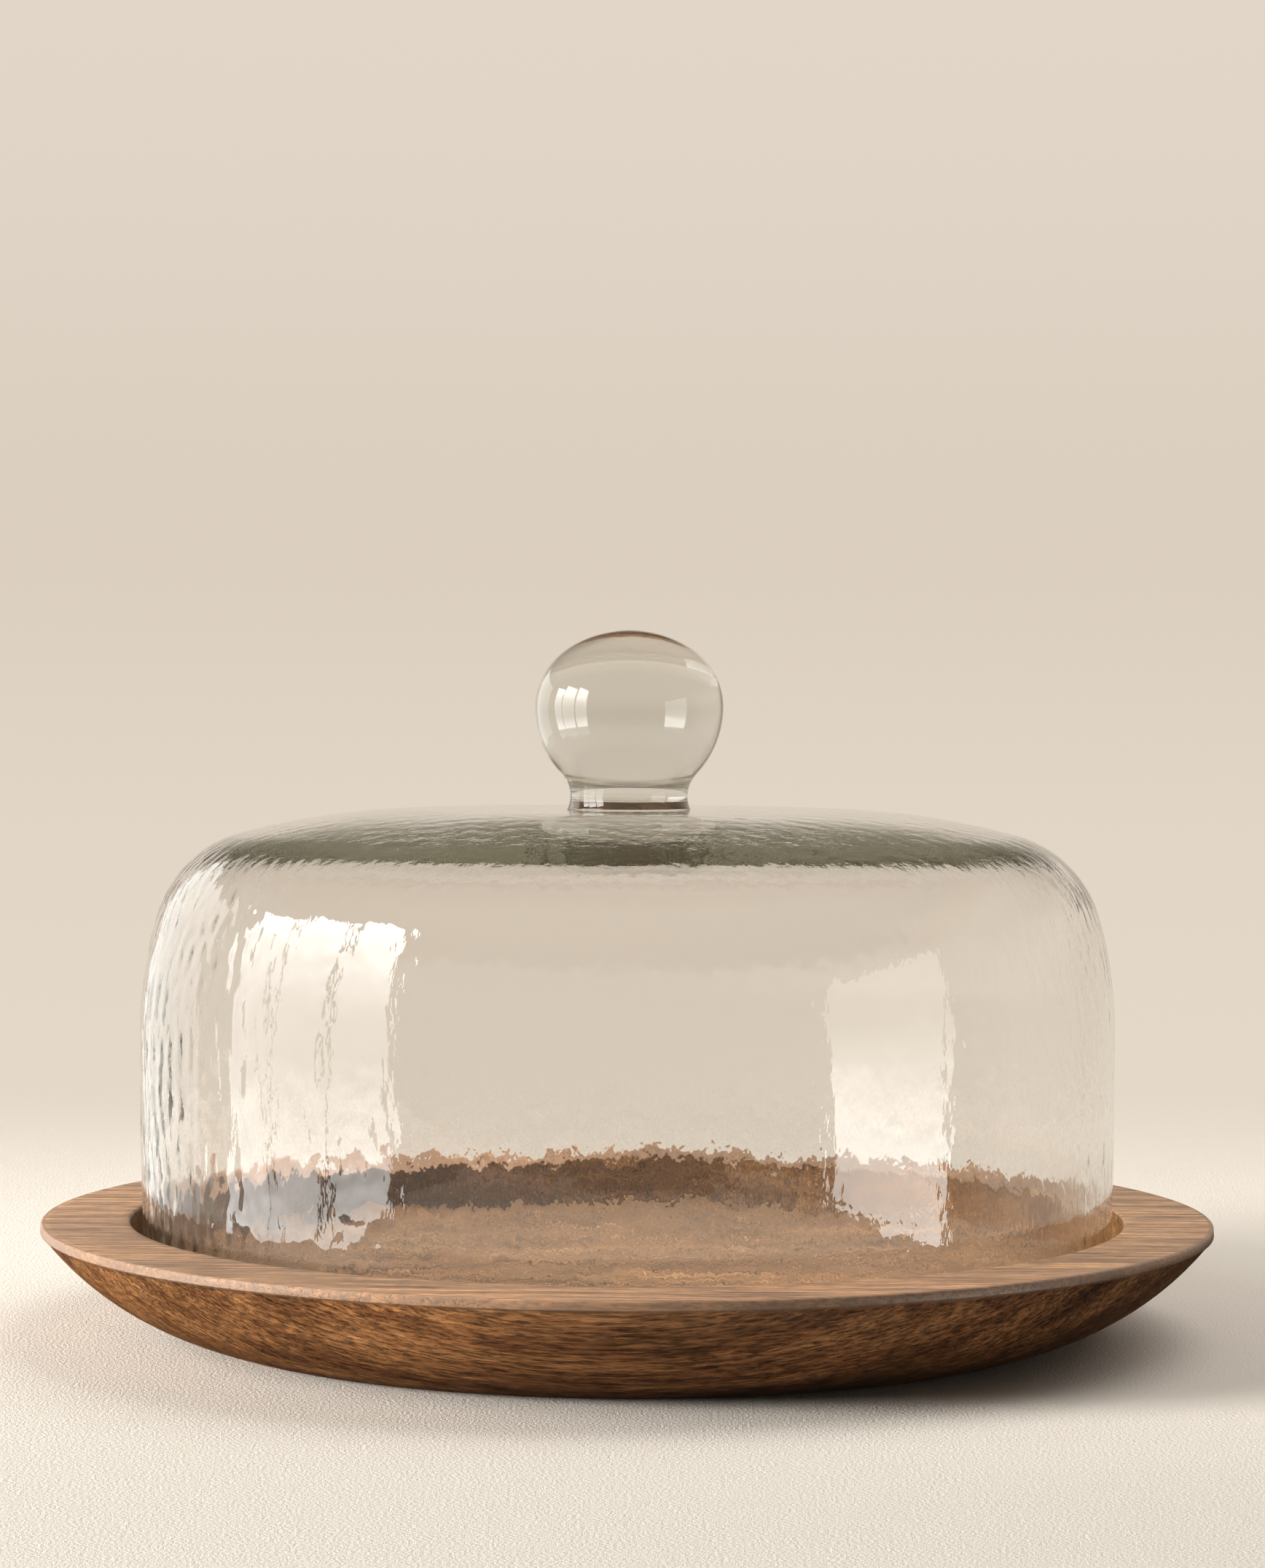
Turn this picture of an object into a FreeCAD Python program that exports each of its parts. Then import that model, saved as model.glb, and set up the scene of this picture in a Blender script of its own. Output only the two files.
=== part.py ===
"""Cheese dome: a clear blown-glass bell with a ball knob, standing in a turned wooden board.

Millimetres, +Z up. The origin is the centre of the flat foot under the board.
The bell and its knob are fused glass and lift off together, straight up.
"""

import FreeCAD, Part

import math
import os

import Sketcher

# Driving dimensions: alias -> (millimetres, what it is).
SIZES = {
    # glass bell
    "dome_diameter": (250.0, "widest outside diameter of the bell"),
    "dome_height": (116.5, "bell rim to the flat land on its crown"),
    "dome_wall": (3.5, "thickness of the blown wall"),
    "dome_taper": (1.3, "how much the bell's radius draws in at its rim"),
    "shoulder_drop": (56.0, "crown down to where the wall starts to curve in"),
    "haunch_radius": (104.0, "slow curve from the wall into the shoulder"),
    "shoulder_radius": (30.0, "tight curve of the shoulder"),
    "crown_radius": (178.0, "shallow curve over the crown"),
    "crown_land": (106.0, "diameter of the flat land in the middle of the crown"),
    "crown_thickness": (4.5, "glass under the land, a little thicker than the wall"),
    "inner_shoulder_radius": (20.0, "tight curve inside the shoulder"),
    "inner_crown_radius": (200.0, "flatter curve under the crown"),
    "lip_rounding": (1.4, "fire-polished edges of the bell's rim"),
    # glass knob
    "neck_diameter": (30.2, "narrowest diameter of the knob's neck"),
    "neck_waist": (3.6, "crown land up to the narrowest place of the neck"),
    "neck_radius": (8.1, "hollow curve that runs from the neck into the ball"),
    "ball_diameter": (48.6, "widest diameter of the ball"),
    "ball_side_radius": (17.8, "curve of the ball above its widest place"),
    "ball_cap_radius": (29.4, "flatter curve over the top of the ball"),
    # wooden board
    "dome_play": (2.3, "clearance all round between the bell and the recess wall"),
    "rim_width": (22.7, "flat rim from the recess to the board's edge"),
    "board_height": (29.0, "foot to the flat rim"),
    "recess_depth": (12.0, "flat rim down to the recess floor"),
    "edge_band": (1.8, "upright band at the board's outer edge"),
    "bevel_width": (42.5, "board's edge in to the edge of the foot"),
    "bevel_radius": (74.0, "bulging curve of the underside"),
    "edge_easing": (0.7, "softened edges of the board"),
    "cove_radius": (2.0, "hollow corner between recess wall and floor"),
}

# Points of a sketch element.
START, END, CENTRE = 1, 2, 3
# Elements that every sketch has: its origin point, which is also its level axis, and its upright axis.
ORIGIN = LEVEL_AXIS = -1
UPRIGHT_AXIS = -2
QUARTER_TURN = math.pi / 2
SAME_SIZE = 1e-3

doc = FreeCAD.newDocument("cheese_dome")
sheet = doc.addObject("Spreadsheet::Sheet", "Sizes")
for row, (alias, (size, meaning)) in enumerate(SIZES.items(), start=1):
    sheet.set(f"A{row}", meaning)
    sheet.set(f"B{row}", str(size))
    sheet.setAlias(f"B{row}", alias)
doc.recompute()


def value(alias):
    """A driving dimension, for the first drawing of a sketch."""
    return SIZES[alias][0]


# ---------------------------------------------------------------- sketch helpers


def new_body(label):
    """A PartDesign body, labelled with the sub-part's name."""
    body = doc.addObject("PartDesign::Body", label)
    body.Label = label
    return body


def profile_sketch(body, name):
    """A sketch on the body's XZ plane: x is a radius, y is a height."""
    sketch = body.newObject("Sketcher::SketchObject", name)
    plane = next(part for part in body.Origin.OriginFeatures if part.Role == "XZ_Plane")
    sketch.AttachmentSupport = [(plane, "")]
    sketch.MapMode = "FlatFace"
    return sketch


def line(sketch, start, end):
    segment = Part.LineSegment(FreeCAD.Vector(*start, 0), FreeCAD.Vector(*end, 0))
    return sketch.addGeometry(segment)


def arc(sketch, centre, radius, start_angle, end_angle):
    """An anticlockwise arc; angles in radians."""
    circle = Part.Circle(FreeCAD.Vector(*centre, 0), FreeCAD.Vector(0, 0, 1), radius)
    return sketch.addGeometry(Part.ArcOfCircle(circle, start_angle, end_angle))


def constrain(sketch, *rule):
    sketch.addConstraint(Sketcher.Constraint(*rule))


def dimension(sketch, name, rule, expression):
    """Add a named dimension and bind it to the sheet."""
    index = sketch.addConstraint(Sketcher.Constraint(*rule))
    sketch.renameConstraint(index, name)
    sketch.setExpression(f"Constraints.{name}", expression)


def direction(origin, target):
    """Angle of the line from one point to another, in radians."""
    return math.atan2(target[1] - origin[1], target[0] - origin[0])


def revolve(body, sketch, name):
    """Turn a profile once round its upright axis."""
    turned = body.newObject("PartDesign::Revolution", name)
    turned.Profile = sketch
    turned.ReferenceAxis = (sketch, ["V_Axis"])
    turned.Angle = 360
    doc.recompute()
    return turned


def is_circle(edge, radius, height):
    curve = edge.Curve
    if not isinstance(curve, Part.Circle):
        return False
    return abs(curve.Radius - radius) < SAME_SIZE and abs(curve.Center.z - height) < SAME_SIZE


def fillet(body, base, name, places, expression):
    """Round the turned edges found at each (radius, height)."""
    edges = []
    for radius, height in places:
        names = [f"Edge{n}" for n, e in enumerate(base.Shape.Edges, 1) if is_circle(e, radius, height)]
        if len(names) != 1:
            raise RuntimeError(f"{name}: {len(names)} edges at radius {radius}, height {height}")
        edges += names
    rounded = body.newObject("PartDesign::Fillet", name)
    rounded.Base = (base, edges)
    rounded.setExpression("Radius", expression)
    doc.recompute()
    return rounded


# ---------------------------------------------------------------- wooden board


def wooden_base():
    """Round board: flat foot, bulging underside, flat rim, and the recess that holds the bell."""
    board_radius = value("dome_diameter") / 2 + value("dome_play") + value("rim_width")
    recess_radius = value("dome_diameter") / 2 + value("dome_play")
    foot_radius = board_radius - value("bevel_width")
    rim = value("board_height")
    floor = rim - value("recess_depth")
    band = rim - value("edge_band")
    foot_edge = (foot_radius, 0)
    board_edge = (board_radius, band)

    # Centre of the bevel's arc: up and in from the middle of its chord.
    chord = math.dist(foot_edge, board_edge)
    middle = ((foot_radius + board_radius) / 2, band / 2)
    reach = math.sqrt(value("bevel_radius") ** 2 - (chord / 2) ** 2)
    across = direction(foot_edge, board_edge) + QUARTER_TURN
    centre = (middle[0] + reach * math.cos(across), middle[1] + reach * math.sin(across))

    body = new_body("wooden_base")
    sketch = profile_sketch(body, "BoardProfile")
    foot = line(sketch, (0, 0), foot_edge)
    bevel = arc(
        sketch, centre, value("bevel_radius"), direction(centre, foot_edge), direction(centre, board_edge)
    )
    edge = line(sketch, board_edge, (board_radius, rim))
    rim_top = line(sketch, (board_radius, rim), (recess_radius, rim))
    recess_wall = line(sketch, (recess_radius, rim), (recess_radius, floor))
    recess_floor = line(sketch, (recess_radius, floor), (0, floor))
    axis = line(sketch, (0, floor), (0, 0))

    outline = [foot, bevel, edge, rim_top, recess_wall, recess_floor, axis]
    for here, following in zip(outline, outline[1:]):
        constrain(sketch, "Coincident", here, END, following, START)
    constrain(sketch, "Coincident", axis, END, ORIGIN, START)
    constrain(sketch, "Coincident", foot, START, ORIGIN, START)
    for flat in (foot, rim_top, recess_floor):
        constrain(sketch, "Horizontal", flat)
    for upright in (edge, recess_wall, axis):
        constrain(sketch, "Vertical", upright)

    dimension(
        sketch,
        "board_radius",
        ("DistanceX", ORIGIN, START, edge, START, board_radius),
        "Sizes.dome_diameter / 2 + Sizes.dome_play + Sizes.rim_width",
    )
    dimension(
        sketch,
        "recess_radius",
        ("DistanceX", ORIGIN, START, recess_wall, START, recess_radius),
        "Sizes.dome_diameter / 2 + Sizes.dome_play",
    )
    dimension(
        sketch,
        "bevel_width",
        ("DistanceX", foot, END, edge, START, value("bevel_width")),
        "Sizes.bevel_width",
    )
    dimension(
        sketch,
        "board_height",
        ("DistanceY", ORIGIN, START, rim_top, START, rim),
        "Sizes.board_height",
    )
    dimension(
        sketch,
        "edge_band",
        ("DistanceY", edge, START, edge, END, value("edge_band")),
        "Sizes.edge_band",
    )
    dimension(
        sketch,
        "recess_depth",
        ("DistanceY", recess_wall, END, recess_wall, START, value("recess_depth")),
        "Sizes.recess_depth",
    )
    dimension(sketch, "bevel_radius", ("Radius", bevel, value("bevel_radius")), "Sizes.bevel_radius")

    turned = revolve(body, sketch, "TurnedBoard")
    eased_edges = [(foot_radius, 0), (board_radius, band), (board_radius, rim), (recess_radius, rim)]
    eased = fillet(body, turned, "EasedEdges", eased_edges, "Sizes.edge_easing")
    fillet(body, eased, "RecessCove", [(recess_radius, floor)], "Sizes.cove_radius")
    return body


# ---------------------------------------------------------------- glass bell


def shoulder_centre(haunch_centre, to_haunch, crown_centre, to_crown):
    """Where the shoulder's arc is centred, so that it runs smoothly into both its neighbours."""
    apart = math.dist(haunch_centre, crown_centre)
    along = (to_haunch**2 - to_crown**2 + apart**2) / (2 * apart)
    corner = direction(haunch_centre, crown_centre) + math.acos(along / to_haunch)
    return (
        haunch_centre[0] + to_haunch * math.cos(corner),
        haunch_centre[1] + to_haunch * math.sin(corner),
    )


def bell_skin(sketch, wall, haunch, shoulder_radius, crown_radius, land_radius, height):
    """One skin of the bell from the rim to the axis. wall and haunch are (centre, radius)."""
    crown_centre = (land_radius, height - crown_radius)
    middle = shoulder_centre(
        haunch[0], haunch[1] - shoulder_radius, crown_centre, crown_radius - shoulder_radius
    )
    rim_angle = -math.asin(wall[0][1] / wall[1])
    haunch_end = direction(haunch[0], middle)
    shoulder_end = direction(crown_centre, middle)
    skin = [
        arc(sketch, *wall, rim_angle, 0),
        arc(sketch, *haunch, 0, haunch_end),
        arc(sketch, middle, shoulder_radius, haunch_end, shoulder_end),
        arc(sketch, crown_centre, crown_radius, shoulder_end, QUARTER_TURN),
        line(sketch, (land_radius, height), (0, height)),
    ]
    for here, following in zip(skin, skin[1:]):
        constrain(sketch, "Tangent", here, END, following, START)
    constrain(sketch, "Horizontal", skin[-1])
    constrain(sketch, "PointOnObject", skin[-1], END, UPRIGHT_AXIS)
    rim_radius = wall[0][0] + wall[1] * math.cos(rim_angle)
    return skin, rim_radius


def glass_bell():
    """Hollow bell, open below: barrelled wall, haunch, shoulder, thicker crown, land for the knob."""
    radius = value("dome_diameter") / 2
    height = value("dome_height")
    taper = value("dome_taper")
    thickness = value("dome_wall")
    belly = height - value("shoulder_drop")
    under_crown = height - value("crown_thickness")
    wall_radius = (belly**2 + taper**2) / (2 * taper)
    wall_centre = (radius - wall_radius, belly)
    haunch_radius = value("haunch_radius")
    haunch_centre = (radius - haunch_radius, belly)

    body = new_body("glass_bell")
    sketch = profile_sketch(body, "BellProfile")
    outer, outer_rim = bell_skin(
        sketch,
        (wall_centre, wall_radius),
        (haunch_centre, haunch_radius),
        value("shoulder_radius"),
        value("crown_radius"),
        value("crown_land") / 2,
        height,
    )
    inner, inner_rim = bell_skin(
        sketch,
        (wall_centre, wall_radius - thickness),
        (haunch_centre, haunch_radius - thickness),
        value("inner_shoulder_radius"),
        value("inner_crown_radius"),
        value("crown_land") / 2,
        under_crown,
    )
    wall, haunch, shoulder, crown, land = outer
    inner_wall, inner_haunch, inner_shoulder, inner_crown, inner_land = inner
    rim = line(sketch, (inner_rim, 0), (outer_rim, 0))
    axis = line(sketch, (0, height), (0, under_crown))

    constrain(sketch, "Coincident", rim, START, inner_wall, START)
    constrain(sketch, "Coincident", rim, END, wall, START)
    constrain(sketch, "Coincident", axis, START, land, END)
    constrain(sketch, "Coincident", axis, END, inner_land, END)
    constrain(sketch, "Horizontal", rim)
    constrain(sketch, "PointOnObject", rim, START, LEVEL_AXIS)
    constrain(sketch, "Horizontal", haunch, CENTRE, haunch, START)
    constrain(sketch, "Coincident", wall, CENTRE, inner_wall, CENTRE)
    constrain(sketch, "Coincident", haunch, CENTRE, inner_haunch, CENTRE)

    dimension(
        sketch,
        "dome_radius",
        ("DistanceX", ORIGIN, START, haunch, START, radius),
        "Sizes.dome_diameter / 2",
    )
    dimension(
        sketch,
        "dome_wall",
        ("DistanceX", inner_haunch, START, haunch, START, thickness),
        "Sizes.dome_wall",
    )
    dimension(
        sketch,
        "dome_taper",
        ("DistanceX", rim, END, haunch, START, taper),
        "Sizes.dome_taper",
    )
    dimension(
        sketch,
        "dome_height",
        ("DistanceY", ORIGIN, START, land, END, height),
        "Sizes.dome_height",
    )
    dimension(
        sketch,
        "crown_thickness",
        ("DistanceY", inner_land, END, land, END, value("crown_thickness")),
        "Sizes.crown_thickness",
    )
    dimension(
        sketch,
        "shoulder_drop",
        ("DistanceY", haunch, START, land, START, value("shoulder_drop")),
        "Sizes.shoulder_drop",
    )
    for name, curve in (("crown_land", crown), ("inner_crown_land", inner_crown)):
        rule = ("DistanceX", ORIGIN, START, curve, END, value("crown_land") / 2)
        dimension(sketch, name, rule, "Sizes.crown_land / 2")
    for name, curve in (
        ("haunch_radius", haunch),
        ("shoulder_radius", shoulder),
        ("crown_radius", crown),
        ("inner_shoulder_radius", inner_shoulder),
        ("inner_crown_radius", inner_crown),
    ):
        dimension(sketch, name, ("Radius", curve, value(name)), f"Sizes.{name}")

    blown = revolve(body, sketch, "BlownShape")
    fillet(body, blown, "FirePolishedRim", [(outer_rim, 0), (inner_rim, 0)], "Sizes.lip_rounding")
    body.setExpression(".Placement.Base.z", "Sizes.board_height - Sizes.recess_depth")
    return body


# ---------------------------------------------------------------- glass knob


def glass_knob():
    """Solid ball on a short waisted neck, standing on the crown's flat land."""
    neck_radius = value("neck_radius")
    ball_radius = value("ball_diameter") / 2
    side_radius = value("ball_side_radius")
    cap_radius = value("ball_cap_radius")
    neck_reach = value("neck_diameter") / 2 + neck_radius
    neck_centre = (neck_reach, value("neck_waist"))
    ball_height = value("neck_waist") + math.sqrt((ball_radius + neck_radius) ** 2 - neck_reach**2)
    ball_centre = (0, ball_height)
    side_centre = (ball_radius - side_radius, ball_height)
    cap_drop = math.sqrt((cap_radius - side_radius) ** 2 - side_centre[0] ** 2)
    cap_centre = (0, ball_height - cap_drop)
    cap_start = direction(cap_centre, side_centre)
    neck_start = direction(ball_centre, neck_centre)
    foot_drop = math.asin(value("neck_waist") / neck_radius)
    foot_radius = neck_reach - neck_radius * math.cos(foot_drop)
    top = cap_centre[1] + cap_radius

    body = new_body("glass_knob")
    sketch = profile_sketch(body, "KnobProfile")
    foot = line(sketch, (0, 0), (foot_radius, 0))
    neck = arc(sketch, neck_centre, neck_radius, math.pi + neck_start, math.pi + foot_drop)
    ball = arc(sketch, ball_centre, ball_radius, neck_start, 0)
    side = arc(sketch, side_centre, side_radius, 0, cap_start)
    cap = arc(sketch, cap_centre, cap_radius, cap_start, QUARTER_TURN)
    axis = line(sketch, (0, top), (0, 0))

    constrain(sketch, "Coincident", foot, START, ORIGIN, START)
    constrain(sketch, "Horizontal", foot)
    constrain(sketch, "Coincident", foot, END, neck, END)
    constrain(sketch, "Tangent", neck, START, ball, START)
    constrain(sketch, "PointOnObject", ball, CENTRE, UPRIGHT_AXIS)
    constrain(sketch, "Horizontal", ball, CENTRE, ball, END)
    constrain(sketch, "Tangent", ball, END, side, START)
    constrain(sketch, "Tangent", side, END, cap, START)
    constrain(sketch, "PointOnObject", cap, CENTRE, UPRIGHT_AXIS)
    constrain(sketch, "Coincident", cap, END, axis, START)
    constrain(sketch, "Coincident", axis, END, ORIGIN, START)
    constrain(sketch, "Vertical", axis)

    dimension(
        sketch,
        "neck_reach",
        ("DistanceX", ORIGIN, START, neck, CENTRE, neck_reach),
        "Sizes.neck_diameter / 2 + Sizes.neck_radius",
    )
    dimension(
        sketch,
        "neck_waist",
        ("DistanceY", ORIGIN, START, neck, CENTRE, value("neck_waist")),
        "Sizes.neck_waist",
    )
    dimension(sketch, "neck_radius", ("Radius", neck, neck_radius), "Sizes.neck_radius")
    dimension(sketch, "ball_radius", ("Radius", ball, ball_radius), "Sizes.ball_diameter / 2")
    dimension(sketch, "side_radius", ("Radius", side, side_radius), "Sizes.ball_side_radius")
    dimension(sketch, "cap_radius", ("Radius", cap, cap_radius), "Sizes.ball_cap_radius")

    revolve(body, sketch, "PressedKnob")
    body.setExpression(
        ".Placement.Base.z", "Sizes.board_height - Sizes.recess_depth + Sizes.dome_height"
    )
    return body


# ---------------------------------------------------------------- build, check and write

bodies = [wooden_base(), glass_bell(), glass_knob()]
doc.recompute()

for thing in doc.Objects:
    if "Invalid" in thing.State or "Error" in thing.State:
        raise RuntimeError(f"{thing.Name} did not build: {thing.State}")
for body in bodies:
    if body.Shape.isNull() or not body.Shape.isValid() or len(body.Shape.Solids) != 1:
        raise RuntimeError(f"{body.Label} is not one valid solid")

os.makedirs("parts", exist_ok=True)
for body in bodies:
    body.Shape.exportStep(f"parts/{body.Label}.step")
    box = body.Shape.optimalBoundingBox(False)
    print(
        f"{body.Label}: {box.XLength:.2f} x {box.YLength:.2f} x {box.ZLength:.2f} mm,"
        f" z {box.ZMin:.2f} to {box.ZMax:.2f}, {body.Shape.Volume / 1000:.1f} cm3"
    )
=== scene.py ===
"""Cheese dome: a hand-blown glass bell and its ball knob over a turned wooden board."""

import math

import bpy
import numpy as np
from mathutils import Matrix, Vector


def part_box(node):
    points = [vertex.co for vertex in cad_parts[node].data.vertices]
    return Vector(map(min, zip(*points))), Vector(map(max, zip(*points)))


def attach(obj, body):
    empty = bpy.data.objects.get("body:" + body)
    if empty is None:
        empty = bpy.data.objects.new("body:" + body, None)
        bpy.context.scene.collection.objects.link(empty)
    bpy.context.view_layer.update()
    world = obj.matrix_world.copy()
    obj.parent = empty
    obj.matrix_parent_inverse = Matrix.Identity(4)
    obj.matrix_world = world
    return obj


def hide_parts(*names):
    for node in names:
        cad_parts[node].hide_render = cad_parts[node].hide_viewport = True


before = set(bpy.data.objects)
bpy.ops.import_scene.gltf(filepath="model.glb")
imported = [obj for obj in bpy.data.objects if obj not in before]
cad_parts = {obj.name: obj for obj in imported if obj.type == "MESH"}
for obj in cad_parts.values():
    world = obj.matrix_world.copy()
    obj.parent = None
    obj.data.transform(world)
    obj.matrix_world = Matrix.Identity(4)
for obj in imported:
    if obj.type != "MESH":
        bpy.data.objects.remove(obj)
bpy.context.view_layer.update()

MM = 0.001
QUARTER_TURN = math.pi / 2
FULL_TURN = 2 * math.pi

# Places and overall sizes, from the CAD model.
BOARD_LOW, BOARD_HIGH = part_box("wooden_base")
BELL_LOW, BELL_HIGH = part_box("glass_bell")
KNOB_LOW, KNOB_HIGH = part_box("glass_knob")
BOARD_RADIUS = BOARD_HIGH.x
BELL_RADIUS = BELL_HIGH.x
BALL_RADIUS = KNOB_HIGH.x
RECESS_FLOOR = BELL_LOW.z
CROWN_TOP = BELL_HIGH.z


# ---------------------------------------------------------------- outlines and turned meshes


def direction(origin, target):
    """Angle of the line from one point to another."""
    return math.atan2(target[1] - origin[1], target[0] - origin[0])


def run(start, end, step):
    """Points along a straight line, about one step apart."""
    count = max(2, round(math.dist(start, end) / step) + 1)
    return np.linspace(start, end, count)


def arc(centre, radius, start, end, step):
    """Points along an arc, about one step apart."""
    count = max(3, round(abs(end - start) * radius / step) + 1)
    angles = np.linspace(start, end, count)
    return centre + radius * np.column_stack([np.cos(angles), np.sin(angles)])


def chain(*stretches):
    """One outline from stretches that meet end to end."""
    joined = [stretches[0]]
    joined += [stretch[1:] for stretch in stretches[1:]]
    return np.concatenate(joined)


def outline_normals(outline):
    """Unit normals of an outline of (radius, height) points, pointing to its left."""
    along = np.gradient(outline, axis=0)
    along /= np.linalg.norm(along, axis=1)[:, None]
    return np.column_stack([-along[:, 1], along[:, 0]])


def waves(points, seed, count, shortest, longest, upright_stretch):
    """Smooth random field of unit strength made of plane waves, the same each run."""
    rng = np.random.default_rng(seed)
    lengths = np.exp(rng.uniform(math.log(shortest), math.log(longest), count))
    headings = rng.normal(size=(count, 3))
    headings /= np.linalg.norm(headings, axis=1)[:, None]
    headings[:, 2] /= upright_stretch
    phases = rng.uniform(0, FULL_TURN, count)
    weights = lengths / np.sqrt((lengths**2).sum() / 2)
    field = np.zeros(len(points))
    for heading, length, phase, weight in zip(headings, lengths, phases, weights):
        field += weight * np.cos(points @ heading * (FULL_TURN / length) + phase)
    return field


def turned_points(outline, columns):
    """Points of a turned shape, ring by ring, and the outward directions of their rings."""
    angles = np.arange(columns) * (FULL_TURN / columns)
    spokes = np.column_stack([np.cos(angles), np.sin(angles), np.zeros(columns)])
    upright = np.array([0.0, 0.0, 1.0])
    normals = outline_normals(outline)
    points = outline[:, :1, None] * spokes + outline[:, 1:, None] * upright
    outward = normals[:, :1, None] * spokes + normals[:, 1:, None] * upright
    return points, outward


def turned_mesh(name, points):
    """Mesh from rings of points. The first and last ring shrink to one point on the axis."""
    rings, columns = points.shape[:2]
    inner = points[1:-1].reshape(-1, 3)
    vertices = np.concatenate([points[:1, 0], inner, points[-1:, 0]])
    last = len(vertices) - 1
    here = np.arange(columns)
    beside = (here + 1) % columns
    faces = []
    for ring in range(rings - 3):
        low = 1 + ring * columns
        high = low + columns
        quads = np.column_stack([low + here, high + here, high + beside, low + beside])
        faces += quads.tolist()
    caps = [(0, 1 + a, 1 + b) for a, b in zip(here.tolist(), beside.tolist())]
    final = 1 + (rings - 3) * columns
    caps += [(last, final + b, final + a) for a, b in zip(here.tolist(), beside.tolist())]
    mesh = bpy.data.meshes.new(name)
    mesh.from_pydata(vertices.tolist(), [], caps + faces)
    mesh.polygons.foreach_set("use_smooth", [True] * len(mesh.polygons))
    mesh.update()
    return mesh


def disc_mesh(name, points):
    """Flat disc from rings of points. The first ring shrinks to one point in the middle."""
    rings, columns = points.shape[:2]
    vertices = np.concatenate([points[:1, 0], points[1:].reshape(-1, 3)])
    faces = [(0, 1 + a, 1 + (a + 1) % columns) for a in range(columns)]
    for ring in range(rings - 2):
        low = 1 + ring * columns
        for a in range(columns):
            b = (a + 1) % columns
            faces.append((low + a, low + columns + a, low + columns + b, low + b))
    mesh = bpy.data.meshes.new(name)
    mesh.from_pydata(vertices.tolist(), [], faces)
    mesh.update()
    return mesh


def add_piece(name, mesh, body, node, slot, *materials):
    """Show a mesh as a piece of the object that stands for a CAD node."""
    piece = bpy.data.objects.new(name, mesh)
    bpy.context.scene.collection.objects.link(piece)
    for material in materials:
        mesh.materials.append(material)
    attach(piece, body)
    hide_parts(node)
    return piece


# ---------------------------------------------------------------- shader helpers


class Nodes:
    """Short way to add and join the nodes of one material or world."""

    def __init__(self, owner):
        owner.use_nodes = True
        self.tree = owner.node_tree
        self.tree.nodes.clear()

    def add(self, kind, inputs=None, **settings):
        node = self.tree.nodes.new(kind)
        for setting, value in settings.items():
            setattr(node, setting, value)
        for socket, value in (inputs or {}).items():
            self.feed(node.inputs[socket], value)
        return node

    def feed(self, socket, value):
        """Set a socket, or join it to an output."""
        if isinstance(value, bpy.types.NodeSocket):
            self.tree.links.new(value, socket)
        else:
            socket.default_value = value

    def maths(self, operation, *values, clamp=False):
        node = self.add("ShaderNodeMath", operation=operation, use_clamp=clamp)
        for socket, value in zip(node.inputs, values):
            self.feed(socket, value)
        return node.outputs[0]

    def noise(self, vector, scale, detail, roughness=0.5):
        inputs = {"Vector": vector, "Scale": scale, "Detail": detail, "Roughness": roughness}
        return self.add("ShaderNodeTexNoise", inputs).outputs["Fac"]

    def stretch(self, vector, scale):
        return self.add("ShaderNodeMapping", {"Vector": vector, "Scale": scale}).outputs[0]

    def climb(self, value, start, end):
        """Go smoothly from 0 at start to 1 at end."""
        limits = {"Value": value, "From Min": start, "From Max": end}
        return self.add("ShaderNodeMapRange", limits, interpolation_type="SMOOTHSTEP").outputs[0]

    def ramp(self, factor, *stops, smooth=False):
        """Colour ramp from (position, colour) stops."""
        node = self.add("ShaderNodeValToRGB", {"Fac": factor})
        node.color_ramp.interpolation = "B_SPLINE" if smooth else "LINEAR"
        elements = node.color_ramp.elements
        while len(elements) < len(stops):
            elements.new(0.5)
        for element, (position, colour) in zip(elements, stops):
            element.position = position
            element.color = (*colour, 1.0)
        return node.outputs[0]

    def blend(self, factor, first, second, kind="MIX"):
        """Mix two colours."""
        node = self.add("ShaderNodeMix", data_type="RGBA", blend_type=kind)
        colours = [socket for socket in node.inputs if socket.type == "RGBA"]
        self.feed(node.inputs[0], factor)
        for socket, value in zip(colours, (first, second)):
            self.feed(socket, value if isinstance(value, bpy.types.NodeSocket) else (*value, 1.0))
        return next(socket for socket in node.outputs if socket.type == "RGBA")

    def mix_shaders(self, factor, first, second):
        node = self.add("ShaderNodeMixShader")
        for socket, value in zip(node.inputs, (factor, first, second)):
            self.feed(socket, value)
        return node.outputs[0]


def grey(level):
    return (level, level, level)


def opaque(colour):
    """Colour with full alpha, for a shader's own socket."""
    return (*colour, 1.0)


# ---------------------------------------------------------------- materials


# The board's outermost edge is paler: this far from the middle of its foot, and beyond.
EDGE_REACH = BOARD_RADIUS + 1.4 * MM
EDGE_FADE = 0.4 * MM
SIDE_ROUGHNESS = 0.34
TOP_ROUGHNESS = 0.14
FIBRE_ROUGHNESS = 0.16


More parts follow.
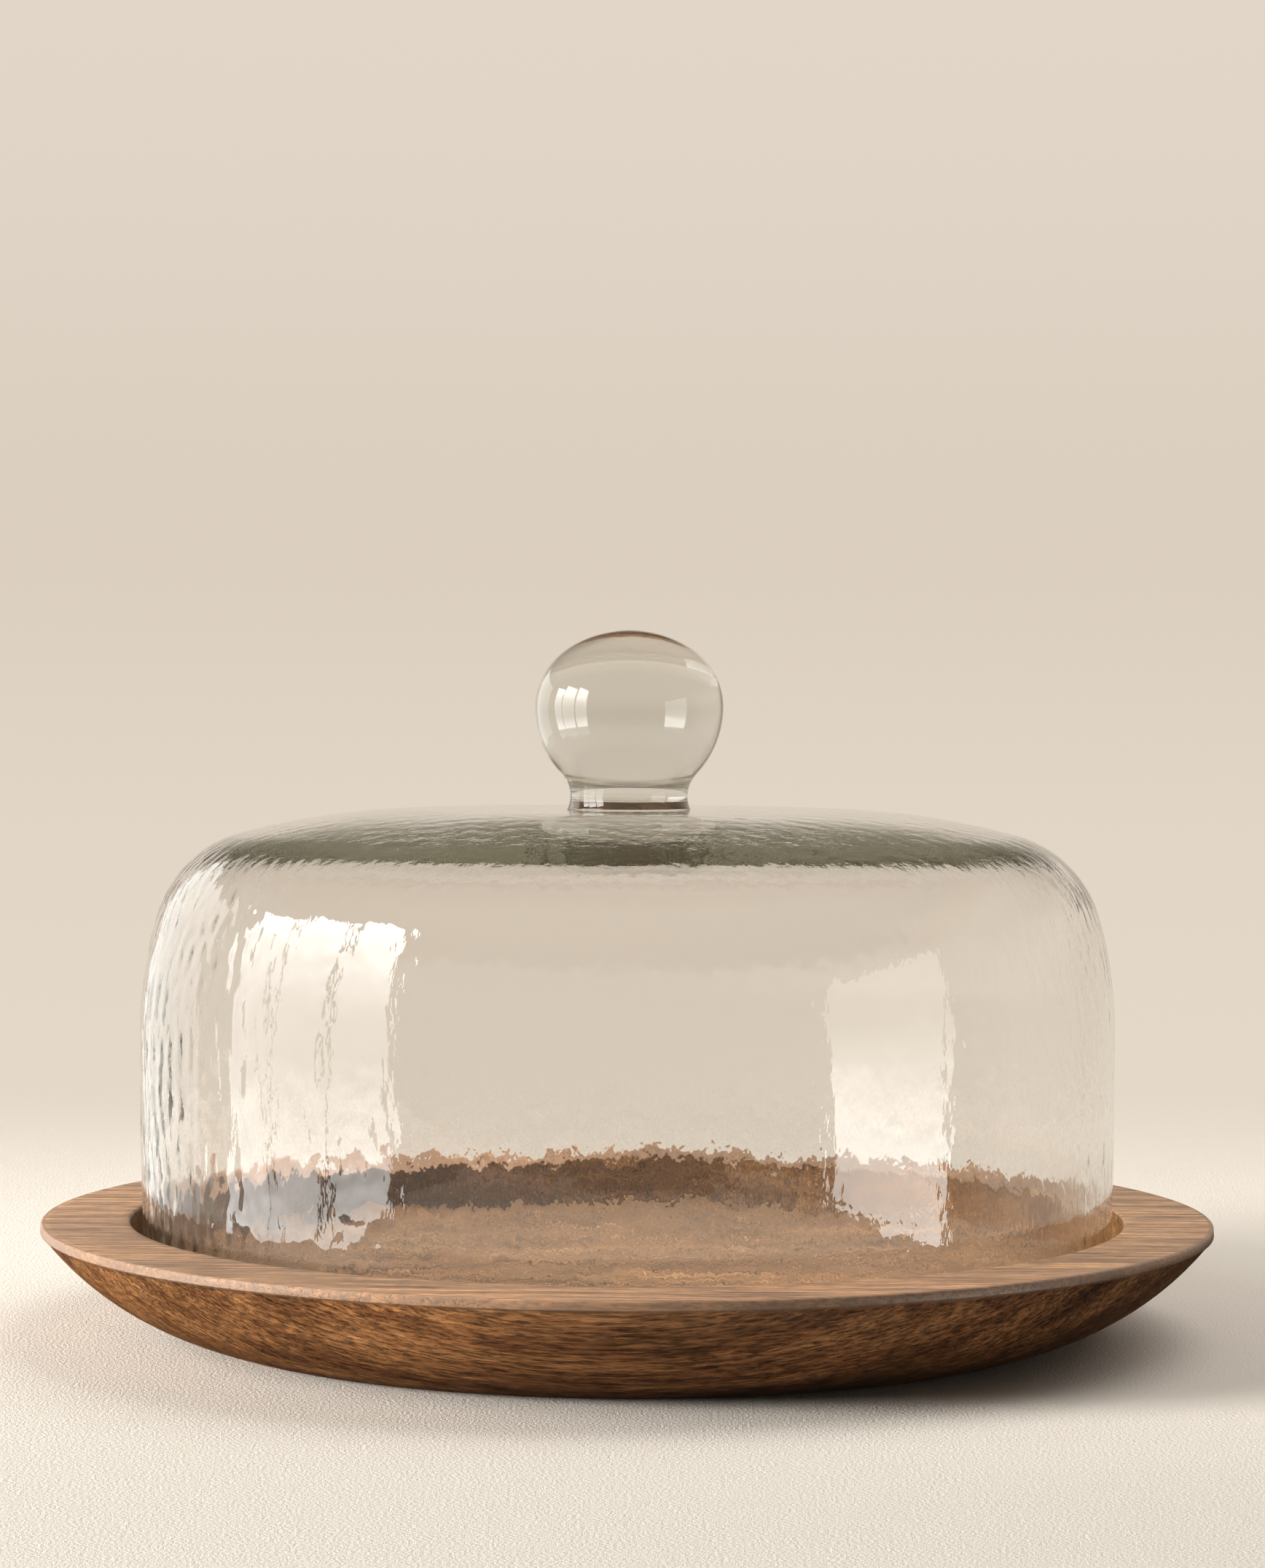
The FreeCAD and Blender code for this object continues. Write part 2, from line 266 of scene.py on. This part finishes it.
def oiled_tone(n, place, grain, fibres, open_pores):
    """Rich brown of the oiled wood: bands and fibres, dark flecks, cloudy patches and pores."""
    bands = n.noise(n.stretch(grain, (5, 120, 90)), 1.0, 3.0, 0.55)
    flecks = n.noise(n.stretch(grain, (150, 1000, 800)), 1.0, 3.0, 0.7)
    patches = n.noise(n.stretch(place, (14, 30, 30)), 1.0, 3.0, 0.6)
    tone = n.ramp(
        n.maths("ADD", n.maths("MULTIPLY", bands, 0.5), n.maths("MULTIPLY", fibres, 0.5)),
        (0.32, (0.060, 0.022, 0.009)),
        (0.45, (0.150, 0.062, 0.022)),
        (0.55, (0.250, 0.112, 0.040)),
        (0.68, (0.400, 0.200, 0.085)),
    )
    flecked = n.ramp(flecks, (0.38, grey(0.22)), (0.60, grey(1.45)))
    patched = n.ramp(patches, (0.3, grey(0.6)), (0.7, grey(1.3)))
    tone = n.blend(0.75, tone, flecked, "MULTIPLY")
    tone = n.blend(0.6, tone, patched, "MULTIPLY")
    return n.blend(n.maths("MULTIPLY", open_pores, 0.65), tone, (0.03, 0.014, 0.008))


def sheen_lit_top_tone(n, tone, grain):
    """Paler, streaky tone of the top, from the oiled tone: painted sheen and top light, streaked
    by the grain.
    """
    lines = n.noise(n.stretch(grain, (24, 420, 350)), 1.0, 5.0, 0.8)
    streaked = n.ramp(lines, (0.38, grey(0.35)), (0.60, grey(1.5)))
    # Painted sheen and top light: blend towards a pale brown, then brighten by half.
    sheen_lit = n.blend(0.28, tone, (0.40, 0.28, 0.195))
    sheen_lit = n.blend(0.9, sheen_lit, streaked, "MULTIPLY")
    return n.blend(1.0, sheen_lit, grey(1.5), "MULTIPLY")


def wood_material():
    """Brown hardwood, its grain along X: oiled and rich on the sides, painted paler on top as
    painted sheen and top light.
    """
    material = bpy.data.materials.new("oiled_wood")
    n = Nodes(material)
    coordinates = n.add("ShaderNodeTexCoord").outputs
    place = coordinates["Object"]
    drift = n.noise(n.stretch(place, (3, 14, 14)), 1.0, 3.0)
    sideways = n.add("ShaderNodeCombineXYZ", {1: n.maths("MULTIPLY", drift, 0.02)}).outputs[0]
    grain = n.add("ShaderNodeVectorMath", {0: place, 1: sideways}, operation="ADD").outputs[0]
    fibres = n.noise(n.stretch(grain, (40, 1000, 800)), 1.0, 4.0, 0.7)
    pores = n.noise(n.stretch(grain, (230, 2300, 2000)), 1.0, 1.0)
    open_pores = n.ramp(pores, (0.58, grey(0.0)), (0.66, grey(1.0)))

    facing_up = n.add("ShaderNodeSeparateXYZ", {0: coordinates["Normal"]}).outputs[2]
    on_top = n.climb(facing_up, 0.2, 0.9)
    reach = n.add("ShaderNodeVectorMath", {0: place}, operation="LENGTH").outputs["Value"]
    on_edge = n.climb(reach, EDGE_REACH, EDGE_REACH + EDGE_FADE)
    tone = oiled_tone(n, place, grain, fibres, open_pores)
    # Painted sheen and top light: faces turned up take the paler top tone.
    tone = n.blend(on_top, tone, sheen_lit_top_tone(n, tone, grain))
    tone = n.blend(n.maths("MULTIPLY", on_edge, 0.6), tone, (0.19, 0.13, 0.09))

    raised = n.maths("MULTIPLY", fibres, 0.6)
    relief = n.maths("SUBTRACT", raised, n.maths("MULTIPLY", open_pores, 0.8))
    bump = n.add("ShaderNodeBump", {"Height": relief, "Strength": 0.35, "Distance": 0.4 * MM})
    dull = n.maths("ADD", SIDE_ROUGHNESS, n.maths("MULTIPLY", on_top, TOP_ROUGHNESS))
    roughness = n.maths("ADD", n.maths("MULTIPLY", fibres, FIBRE_ROUGHNESS), dull)
    look = {"Base Color": tone, "Roughness": roughness, "Normal": bump.outputs[0]}
    shader = n.add("ShaderNodeBsdfPrincipled", look)
    n.add("ShaderNodeOutputMaterial", {"Surface": shader.outputs[0]})
    return material


GLASS_TINT = (0.972, 0.958, 0.944)
GLASS_SHADE = (0.86, 0.88, 0.87)
GLASS_BODY = (0.27, 0.29, 0.13)
GLASS_DENSITY = 6.8
GLASS_IOR = 1.5


def glass_material(name, ripple_scale, ripple_height):
    """Clear glass with a faint olive body colour and fine surface ripples. Lamps shine through it.

    Where the attribute "fused" is 1, two pieces of glass are one, and light passes straight on.
    """
    material = bpy.data.materials.new(name)
    n = Nodes(material)
    place = n.add("ShaderNodeTexCoord").outputs["Object"]
    ripples = n.noise(n.stretch(place, (1, 1, 0.45)), ripple_scale, 2.0, 0.5)
    bump = n.add("ShaderNodeBump", {"Height": ripples, "Strength": 1.0, "Distance": ripple_height})
    glass = n.add(
        "ShaderNodeBsdfPrincipled",
        {
            "Base Color": opaque(GLASS_TINT),
            "Roughness": 0.0,
            "IOR": GLASS_IOR,
            "Transmission Weight": 1.0,
            "Normal": bump.outputs[0],
        },
    )
    clear = n.add("ShaderNodeBsdfTransparent", {"Color": opaque(GLASS_SHADE)})
    through = n.add("ShaderNodeBsdfTransparent")
    shadow = n.add("ShaderNodeLightPath").outputs["Is Shadow Ray"]
    fused = n.add("ShaderNodeAttribute", attribute_name="fused").outputs["Fac"]
    surface = n.mix_shaders(shadow, glass.outputs[0], clear.outputs[0])
    surface = n.mix_shaders(fused, surface, through.outputs[0])
    dimming = {"Color": opaque(GLASS_BODY), "Density": GLASS_DENSITY}
    body = n.add("ShaderNodeVolumeAbsorption", dimming)
    n.add("ShaderNodeOutputMaterial", {"Surface": surface, "Volume": body.outputs[0]})
    return material


def mark_fused(mesh):
    """Store which faces lie in the disc where bell and knob meet."""
    attribute = mesh.attributes.new("fused", "FLOAT", "FACE")
    centres = np.zeros(len(mesh.polygons) * 3)
    mesh.polygons.foreach_get("center", centres)
    x, y, z = centres.reshape(-1, 3).T
    is_fused = (np.hypot(x, y) < KNOB_FOOT) & (np.abs(z - CROWN_TOP) < LIFT)
    attribute.data.foreach_set("value", is_fused.astype(float))


# ---------------------------------------------------------------- wooden board

DOME_PLAY = 2.3 * MM
FOOT_INSET = 42.5 * MM
EDGE_BAND = 1.8 * MM
BEVEL_RADIUS = 74 * MM
EASING = 0.7 * MM
COVE = 2.0 * MM
FLAT_STEP = 6 * MM
BEVEL_STEP = 1.5 * MM
RIM_STEP = 2 * MM
EASING_STEP = 0.35 * MM
BOARD_COLUMNS = 360


def board_outline():
    """Outline from the middle of the foot, round the edge, to the middle of the recess floor."""
    foot_edge = (BOARD_RADIUS - FOOT_INSET, 0)
    top = BOARD_HIGH.z
    edge = (BOARD_RADIUS, top - EDGE_BAND)
    recess = BELL_RADIUS + DOME_PLAY
    chord = math.dist(foot_edge, edge)
    middle = ((foot_edge[0] + edge[0]) / 2, (foot_edge[1] + edge[1]) / 2)
    across = direction(foot_edge, edge) + QUARTER_TURN
    reach = math.sqrt(BEVEL_RADIUS**2 - (chord / 2) ** 2)
    centre = (middle[0] + reach * math.cos(across), middle[1] + reach * math.sin(across))
    start = direction(centre, foot_edge) + EASING / BEVEL_RADIUS
    end = direction(centre, edge) - EASING / BEVEL_RADIUS
    bevel = arc(centre, BEVEL_RADIUS, start, end, BEVEL_STEP)
    rounding = (edge[0] - EASING, bevel[-1][1] + EASING / 2)
    return chain(
        run((0, 0), (foot_edge[0] - EASING, 0), FLAT_STEP),
        np.array([(foot_edge[0] - EASING, 0), bevel[0]]),
        bevel,
        arc(rounding, EASING, -QUARTER_TURN / 2, 0, EASING_STEP),
        arc((edge[0] - EASING, top - EASING), EASING, 0, QUARTER_TURN, EASING_STEP),
        run((edge[0] - EASING, top), (recess + EASING, top), RIM_STEP),
        arc((recess + EASING, top - EASING), EASING, QUARTER_TURN, math.pi, EASING_STEP),
        run((recess, top - EASING), (recess, RECESS_FLOOR + COVE), RIM_STEP),
        arc((recess - COVE, RECESS_FLOOR + COVE), COVE, 0, -QUARTER_TURN, EASING_STEP),
        run((recess - COVE, RECESS_FLOOR), (0, RECESS_FLOOR), FLAT_STEP),
    )


def make_board():
    points, _ = turned_points(board_outline()[::-1], BOARD_COLUMNS)
    mesh = turned_mesh("turned_board", points)
    return add_piece("turned_board", mesh, "board", "wooden_base", "board_wood", wood_material())


# ---------------------------------------------------------------- glass bell

WALL = 3.5 * MM
TAPER = 1.3 * MM
SHOULDER_DROP = 56 * MM
HAUNCH_RADIUS = 104 * MM
SHOULDER_RADIUS = 30 * MM
CROWN_RADIUS = 178 * MM
LAND_RADIUS = 53 * MM
CROWN_THICKNESS = 4.5 * MM
INNER_SHOULDER_RADIUS = 20 * MM
INNER_CROWN_RADIUS = 200 * MM
LIP = 1.4 * MM
NECK_RADIUS = 15.1 * MM
NECK_WAIST = 3.6 * MM
NECK_HOLLOW = 8.1 * MM
SIDE_RADIUS = 17.8 * MM
CAP_RADIUS = 29.4 * MM
NECK_REACH = NECK_RADIUS + NECK_HOLLOW
KNOB_FOOT = NECK_REACH - math.sqrt(NECK_HOLLOW**2 - NECK_WAIST**2)
LIFT = 0.05 * MM
BELL_COLUMNS = 800
OUTER_STEPS = (1.0 * MM, 1.1 * MM, 1.1 * MM)
INNER_STEPS = (1.3 * MM, 1.3 * MM, 1.8 * MM)
LAND_STEP = 2 * MM
LIP_STEP = 0.4 * MM

# Families of waves in blown glass: how many, shortest, longest, and how far drawn out upright.
BROAD = (40, 40 * MM, 90 * MM, 1.5)
STREAKS = (90, 6 * MM, 20 * MM, 4.0)
DRIPS = (110, 3.5 * MM, 7 * MM, 2.5)
HAMMERING = (110, 4 * MM, 9 * MM, 0.9)
RAGGED = (130, 2.8 * MM, 5.5 * MM, 1.3)
PATCHES = (30, 18 * MM, 50 * MM, 1.5)
WANDER = (20, 30 * MM, 80 * MM, 1.0)
OUTER_SEED = 11
INNER_SEED = 31
INNER_SHARE = 0.7


def bell_skin(inset, shoulder_radius, crown_radius, top, steps):
    """One skin of the bell, from its rim up to the edge of the flat land at height top."""
    wall_step, shoulder_step, crown_step = steps
    belly = CROWN_TOP - SHOULDER_DROP
    drop = belly - BELL_LOW.z
    wall_radius = (drop**2 + TAPER**2) / (2 * TAPER) - inset
    haunch_radius = HAUNCH_RADIUS - inset
    wall_centre = (BELL_RADIUS - inset - wall_radius, belly)
    haunch_centre = (BELL_RADIUS - HAUNCH_RADIUS, belly)
    crown_centre = (LAND_RADIUS, top - crown_radius)
    to_haunch = haunch_radius - shoulder_radius
    to_crown = crown_radius - shoulder_radius
    apart = math.dist(haunch_centre, crown_centre)
    along = (to_haunch**2 - to_crown**2 + apart**2) / (2 * apart)
    corner = direction(haunch_centre, crown_centre) + math.acos(along / to_haunch)
    shoulder = (
        haunch_centre[0] + to_haunch * math.cos(corner),
        haunch_centre[1] + to_haunch * math.sin(corner),
    )
    haunch_end = direction(haunch_centre, shoulder)
    crown_start = direction(crown_centre, shoulder)
    rim_angle = -math.asin((drop - LIP) / wall_radius)
    return chain(
        arc(wall_centre, wall_radius, rim_angle, 0, wall_step),
        arc(haunch_centre, haunch_radius, 0, haunch_end, shoulder_step),
        arc(shoulder, shoulder_radius, haunch_end, crown_start, shoulder_step),
        arc(crown_centre, crown_radius, crown_start, QUARTER_TURN, crown_step),
    )


def bell_outline():
    """Outer skin from the axis down to the rim, round the rim, and the inner skin back up.

    Also gives the ring where the inner skin starts.
    """
    under_crown = CROWN_TOP - CROWN_THICKNESS
    outer = bell_skin(0, SHOULDER_RADIUS, CROWN_RADIUS, CROWN_TOP, OUTER_STEPS)
    inner = bell_skin(WALL, INNER_SHOULDER_RADIUS, INNER_CROWN_RADIUS, under_crown, INNER_STEPS)
    rim_low = BELL_LOW.z + LIFT
    outer_rim = tuple(outer[0])
    inner_rim = tuple(inner[0])
    outside = chain(
        run((0, CROWN_TOP), (KNOB_FOOT, CROWN_TOP), LAND_STEP),
        run((KNOB_FOOT, CROWN_TOP), (LAND_RADIUS, CROWN_TOP), OUTER_STEPS[2]),
        outer[::-1],
        arc((outer_rim[0] - LIP, rim_low + LIP), LIP, 0, -QUARTER_TURN, LIP_STEP),
    )
    inside = chain(
        arc((inner_rim[0] + LIP, rim_low + LIP), LIP, -QUARTER_TURN, -math.pi, LIP_STEP),
        inner,
        run((LAND_RADIUS, under_crown), (0, under_crown), LAND_STEP),
    )
    return np.concatenate([outside, inside]), len(outside)


def smooth_step(low, high, value):
    share = np.clip((value - low) / (high - low), 0, 1)
    return share * share * (3 - 2 * share)


def blown_unevenness(points, seed):
    """How far hand-blown glass stands off its true shape, in metres.

    It drips low down on the left, is dimpled near the rim and calm under the knob.
    """
    height = points[:, 2]
    reach = np.hypot(points[:, 0], points[:, 1])
    broad = waves(points, seed, *BROAD)
    streaks = waves(points, seed + 1, *STREAKS)
    drips = waves(points, seed + 2, *DRIPS)
    hammering = waves(points, seed + 3, *HAMMERING)
    ragged = waves(points, seed + 4, *RAGGED)
    patchy = smooth_step(-0.9, 1.2, waves(points, seed + 5, *PATCHES))
    wander = 5 * MM * waves(points, seed + 6, *WANDER)

    rim = BELL_LOW.z
    low_down = 1 - smooth_step(rim + 5 * MM, rim + 14 * MM, height + wander)
    on_left = smooth_step(0.25, 0.85, -points[:, 0] / BELL_RADIUS)
    dripping = on_left * (1 - smooth_step(rim + 28 * MM, rim + 78 * MM, height + 2 * wander))
    on_crown = smooth_step(CROWN_TOP - 16 * MM, CROWN_TOP - 6 * MM, height)

    # Amplitudes in millimetres.
    uneven = (0.10 - 0.05 * on_crown) * broad
    uneven += (0.016 - 0.010 * on_crown) * streaks
    uneven += 0.010 * (1 - 0.5 * on_crown) * (1 + on_left + 3.5 * dripping) * drips
    uneven += 0.015 * (1 - 0.6 * on_crown) * (1 + 2.0 * on_left) * patchy * ragged
    uneven += (0.014 * low_down + 0.013 * on_crown) * hammering
    clear_of_knob = smooth_step(KNOB_FOOT, KNOB_FOOT + 12 * MM, reach)
    off_rim = smooth_step(rim, rim + 4 * MM, height)
    return uneven * MM * clear_of_knob * off_rim


def make_bell():
    outline, first_inside = bell_outline()
    points, outward = turned_points(outline, BELL_COLUMNS)
    flat = points.reshape(-1, 3)
    outer_field = blown_unevenness(flat, OUTER_SEED).reshape(points.shape[:2])
    inner_field = INNER_SHARE * blown_unevenness(flat, INNER_SEED).reshape(points.shape[:2])
    is_inside = np.arange(len(points)) >= first_inside
    field = np.where(is_inside[:, None], inner_field, outer_field)
    mesh = turned_mesh("blown_bell", points + outward * field[:, :, None])
    mark_fused(mesh)
    glass = glass_material("bell_glass", 480.0, 0.055 * MM)
    return add_piece("blown_bell", mesh, "dome", "glass_bell", "bell_glass", glass)


# ---------------------------------------------------------------- glass knob

KNOB_COLUMNS = 240
KNOB_STEP = 0.5 * MM
BLOB = (30, 30 * MM, 60 * MM, 1.0)
RIPPLE = (50, 7 * MM, 16 * MM, 1.0)


def knob_outline():
    """Outline from the middle of the foot, up the waisted neck and round the ball, to its top."""
    base = KNOB_LOW.z
    neck_centre = (NECK_REACH, base + NECK_WAIST)
    ball_height = base + NECK_WAIST + math.sqrt((BALL_RADIUS + NECK_HOLLOW) ** 2 - NECK_REACH**2)
    ball_centre = (0, ball_height)
    side_centre = (BALL_RADIUS - SIDE_RADIUS, ball_height)
    cap_drop = math.sqrt((CAP_RADIUS - SIDE_RADIUS) ** 2 - side_centre[0] ** 2)
    cap_centre = (0, ball_height - cap_drop)
    cap_start = direction(cap_centre, side_centre)
    neck_start = direction(ball_centre, neck_centre)
    foot_angle = math.pi + math.asin(NECK_WAIST / NECK_HOLLOW)
    return chain(
        run((0, base), (KNOB_FOOT, base), LAND_STEP),
        arc(neck_centre, NECK_HOLLOW, foot_angle, math.pi + neck_start, KNOB_STEP),
        arc(ball_centre, BALL_RADIUS, neck_start, 0, KNOB_STEP),
        arc(side_centre, SIDE_RADIUS, 0, cap_start, KNOB_STEP),
        arc(cap_centre, CAP_RADIUS, cap_start, QUARTER_TURN, KNOB_STEP),
    )


def make_knob():
    points, outward = turned_points(knob_outline()[::-1], KNOB_COLUMNS)
    flat = points.reshape(-1, 3)
    uneven = 0.16 * waves(flat, 51, *BLOB)
    uneven += 0.012 * waves(flat, 52, *RIPPLE)
    above_joint = smooth_step(KNOB_LOW.z, KNOB_LOW.z + 6 * MM, flat[:, 2])
    field = (uneven * above_joint * MM).reshape(points.shape[:2])
    mesh = turned_mesh("ball_knob", points + outward * field[:, :, None])
    mark_fused(mesh)
    glass = glass_material("knob_glass", 200.0, 0.004 * MM)
    return add_piece("ball_knob", mesh, "dome", "glass_knob", "knob_glass", glass)


# ---------------------------------------------------------------- camera, stage and light

WALL_COLOUR = (0.73, 0.64, 0.54)
CAMERA_PLACE = (0.9 * MM, -1.0, 157.5 * MM)
CAMERA_PITCH = math.radians(1.0)
CAMERA_ROLL = 0.0043
CAMERA_LENS = 89.05
FLOOR_RADIUS = 0.85
FLOOR_STEP = 20 * MM
FLOOR_COLUMNS = 96
FLOOR_COLOUR = (0.69, 0.65, 0.60)
# Painted shade of the table near the camera.
FLOOR_SHADED_FRONT_COLOUR = (0.545, 0.52, 0.48)
DIFFUSE_LOSS = 0.35
LAMP_COLOUR = (1.0, 0.96, 0.91)
WINDOW_COLOUR = (1.0, 1.0, 0.97)
PALE_WALL_COLOUR = (1.0, 1.0, 0.96)
TABLE_COLOUR = (0.84, 0.74, 0.62)
LIGHT_BOUNCES = 72


def make_camera():
    camera = bpy.data.objects.new("camera", bpy.data.cameras.new("camera"))
    camera.data.lens = CAMERA_LENS
    tilt = Matrix.Rotation(QUARTER_TURN - CAMERA_PITCH, 4, "X")
    roll = Matrix.Rotation(CAMERA_ROLL, 4, "Z")
    camera.matrix_world = Matrix.Translation(CAMERA_PLACE) @ tilt @ roll
    bpy.context.scene.collection.objects.link(camera)
    bpy.context.scene.camera = camera


def make_floor():
    """Pale sandy table top with painted shade, darker in front, that fades out into the
    background.
    """
    ring = run((0, 0), (FLOOR_RADIUS, 0), FLOOR_STEP)
    points, _ = turned_points(ring, FLOOR_COLUMNS)
    mesh = disc_mesh("floor", points)
    floor = bpy.data.objects.new("floor", mesh)
    bpy.context.scene.collection.objects.link(floor)
    material = bpy.data.materials.new("floor")
    n = Nodes(material)
    place = n.add("ShaderNodeTexCoord").outputs["Object"]
    distance = n.add("ShaderNodeVectorMath", {0: place}, operation="LENGTH").outputs["Value"]
    depth = n.add("ShaderNodeSeparateXYZ", {0: place}).outputs[1]
    grain = n.noise(place, 1100.0, 3.0, 0.7)
    bump = n.add("ShaderNodeBump", {"Height": grain, "Strength": 0.5, "Distance": 1.0 * MM})
    # Painted shade: the table darkens towards the camera.
    tone = n.blend(n.climb(depth, 0.0, -0.26), FLOOR_COLOUR, FLOOR_SHADED_FRONT_COLOUR)
    look = {"Base Color": tone, "Normal": bump.outputs[0], "Roughness": 0.85}
    plain = n.add("ShaderNodeBsdfPrincipled", {**look, "Specular IOR Level": 0.2})
    gone = n.add("ShaderNodeBsdfTransparent")
    fade = n.maths("MAXIMUM", n.climb(depth, 0.16, 0.66), n.climb(distance, 0.6, 0.8))
    surface = n.mix_shaders(fade, plain.outputs[0], gone.outputs[0])
    n.add("ShaderNodeOutputMaterial", {"Surface": surface})
    mesh.materials.append(material)
    floor.visible_glossy = False


def make_world():
    """Beige room, seen as it is by the camera.

    Glass mirrors it dark overhead and behind the camera, and shows it dim straight up. The wood
    and the table get little light from the front, and next to none from below.
    """
    world = bpy.data.worlds.new("room")
    bpy.context.scene.world = world
    world.cycles.sampling_method = "NONE"
    n = Nodes(world)
    heading = n.add("ShaderNodeTexCoord").outputs["Generated"]
    parts = n.add("ShaderNodeSeparateXYZ", {0: heading})
    depth = parts.outputs[1]
    up = parts.outputs[2]
    path = n.add("ShaderNodeLightPath").outputs
    through_glass = path["Is Transmission Ray"]
    in_mirror = n.maths("SUBTRACT", path["Is Singular Ray"], through_glass, clamp=True)
    sharp = n.maths("ADD", path["Is Singular Ray"], path["Is Camera Ray"])
    on_matter = n.maths("SUBTRACT", 1.0, sharp, clamp=True)

    wall = n.ramp(
        n.climb(up, -0.12, 0.20),
        (0.0, (0.79, 0.70, 0.59)),
        (0.35, WALL_COLOUR),
        (0.6, (0.70, 0.61, 0.51)),
        (1.0, (0.76, 0.68, 0.59)),
        smooth=True,
    )
    dark = tuple(0.13 * c for c in WALL_COLOUR)
    dim = tuple(0.30 * c for c in WALL_COLOUR)
    above_glass = n.maths("MULTIPLY", n.climb(up, 0.60, 0.95), through_glass)
    above_mirror = n.maths("MULTIPLY", n.climb(up, 0.14, 0.40), in_mirror)
    front_mirror = n.maths("MULTIPLY", n.climb(depth, 0.25, -0.25), in_mirror)
    front_matter = n.maths("MULTIPLY", n.climb(depth, 0.1, -0.4), on_matter)
    below_matter = n.maths("MULTIPLY", n.climb(up, 0.02, -0.04), on_matter)
    colour = n.blend(n.maths("MAXIMUM", above_mirror, front_mirror), wall, dark)
    colour = n.blend(above_glass, colour, dim)
    colour = n.blend(front_matter, colour, dark)
    softened = n.maths("MULTIPLY", path["Is Diffuse Ray"], DIFFUSE_LOSS)
    colour = n.blend(softened, colour, grey(0.0))
    colour = n.blend(below_matter, colour, (0.012, 0.010, 0.008))
    back = n.add("ShaderNodeBackground", {"Color": colour, "Strength": 1.0})
    n.add("ShaderNodeOutputWorld", {"Surface": back.outputs[0]})


def add_lamp(name, place, target, size, energy):
    """Soft rectangular lamp that lights the table and the wood, and doesn't show in glass."""
    lamp = bpy.data.lights.new(name, "AREA")
    lamp.shape = "RECTANGLE"
    lamp.size, lamp.size_y = size
    lamp.energy = energy
    lamp.color = LAMP_COLOUR
    holder = bpy.data.objects.new(name, lamp)
    holder.location = place
    facing = Vector(target) - Vector(place)
    holder.rotation_euler = facing.to_track_quat("-Z", "Y").to_euler()
    holder.visible_camera = False
    holder.visible_glossy = False
    holder.visible_transmission = False
    bpy.context.scene.collection.objects.link(holder)


def add_card(name, corners, colour, levels):
    """Bright card that shows only in reflections: clearly in glass, faintly in the wood's gloss.

    levels are (height, strength) stops, from low to high.
    """
    mesh = bpy.data.meshes.new(name)
    mesh.from_pydata([tuple(c) for c in corners], [], [(0, 1, 2, 3)])
    card = bpy.data.objects.new(name, mesh)
    bpy.context.scene.collection.objects.link(card)
    card.visible_camera = False
    card.visible_diffuse = False
    card.visible_shadow = False
    card.visible_transmission = False
    material = bpy.data.materials.new(name)
    n = Nodes(material)
    place = n.add("ShaderNodeTexCoord").outputs["Object"]
    up = n.add("ShaderNodeSeparateXYZ", {0: place}).outputs[2]
    low = levels[0][0]
    span = levels[-1][0] - low
    strongest = max(strength for _, strength in levels)
    share = n.maths("DIVIDE", n.maths("SUBTRACT", up, low), span)
    stops = [((height - low) / span, grey(strength / strongest)) for height, strength in levels]
    strength = n.maths("MULTIPLY", n.ramp(share, *stops), strongest)
    light = n.add("ShaderNodeEmission", {"Color": opaque(colour), "Strength": strength})
    n.add("ShaderNodeOutputMaterial", {"Surface": light.outputs[0]})
    mesh.materials.append(material)


def upright_card(name, start, end, low_z, high_z, colour, levels):
    """Card over the line from start to end, two (x, y) points."""
    corners = [(*start, low_z), (*end, low_z), (*end, high_z), (*start, high_z)]
    add_card(name, corners, colour, levels)


WINDOW_X = -1.2
WINDOW_LOW = -0.45
PANES = ((-0.92, -0.505, 0.92), (-0.465, -0.09, 0.80), (-0.07, 0.20, 0.66))
WINDOW_LEVELS = (
    (-0.25, 9.0),
    (-0.1, 5.4),
    (-0.02, 3.5),
    (0.2, 4.2),
    (0.4, 7.0),
    (0.6, 13.0),
    (0.95, 14.0),
)
FAR_WINDOW_LEVELS = ((0.0, 1.5), (0.4, 1.8))
PALE_WALL_X = 1.2
PALE_WALL_LEVELS = ((-0.12, 8.0), (-0.02, 3.9), (0.2, 2.1))
EVEN = ((0.0, 1.0), (1.0, 1.0))


def add_cards():
    """What the glass mirrors: a window in three panes on the left, a far one, and a pale wall."""
    for number, (near, far, top) in enumerate(PANES):
        start = (WINDOW_X, near)
        end = (WINDOW_X, far)
        name = f"window_{number}"
        upright_card(name, start, end, WINDOW_LOW, top, WINDOW_COLOUR, WINDOW_LEVELS)
    far_start = (-1.15, 0.50)
    far_end = (-0.62, 1.08)
    upright_card("window_far", far_start, far_end, -0.3, 0.6, WINDOW_COLOUR, FAR_WINDOW_LEVELS)
    wall_start = (PALE_WALL_X, -1.22)
    wall_end = (PALE_WALL_X, -0.33)
    upright_card(
        "pale_wall", wall_start, wall_end, WINDOW_LOW, 0.5, PALE_WALL_COLOUR, PALE_WALL_LEVELS
    )
    near_table = ((-0.25, -0.42, 0), (0.25, -0.42, 0), (0.25, -0.16, 0), (-0.25, -0.16, 0))
    add_card("near_table", near_table, TABLE_COLOUR, EVEN)


def add_lamps():
    """Key light from the left, a low one from the window, and a soft one from the ceiling."""
    add_lamp("key_light", (-3.2, -1.0, 1.7), (0, 0, 0), (1.6, 1.6), 76.0)
    add_lamp("window_light", (-1.6, -0.65, 0.36), (0, 0, 0.03), (0.5, 0.4), 78.0)
    add_lamp("ceiling_light", (0.9, 0.5, 1.5), (0.1, 0, 0), (1.6, 1.6), 24.0)


def main():
    scene = bpy.context.scene
    scene.view_settings.view_transform = "Standard"
    scene.cycles.max_bounces = LIGHT_BOUNCES
    scene.cycles.glossy_bounces = LIGHT_BOUNCES
    scene.cycles.transmission_bounces = LIGHT_BOUNCES
    make_camera()
    make_board()
    make_bell()
    make_knob()
    make_floor()
    make_world()
    add_cards()
    add_lamps()


main()
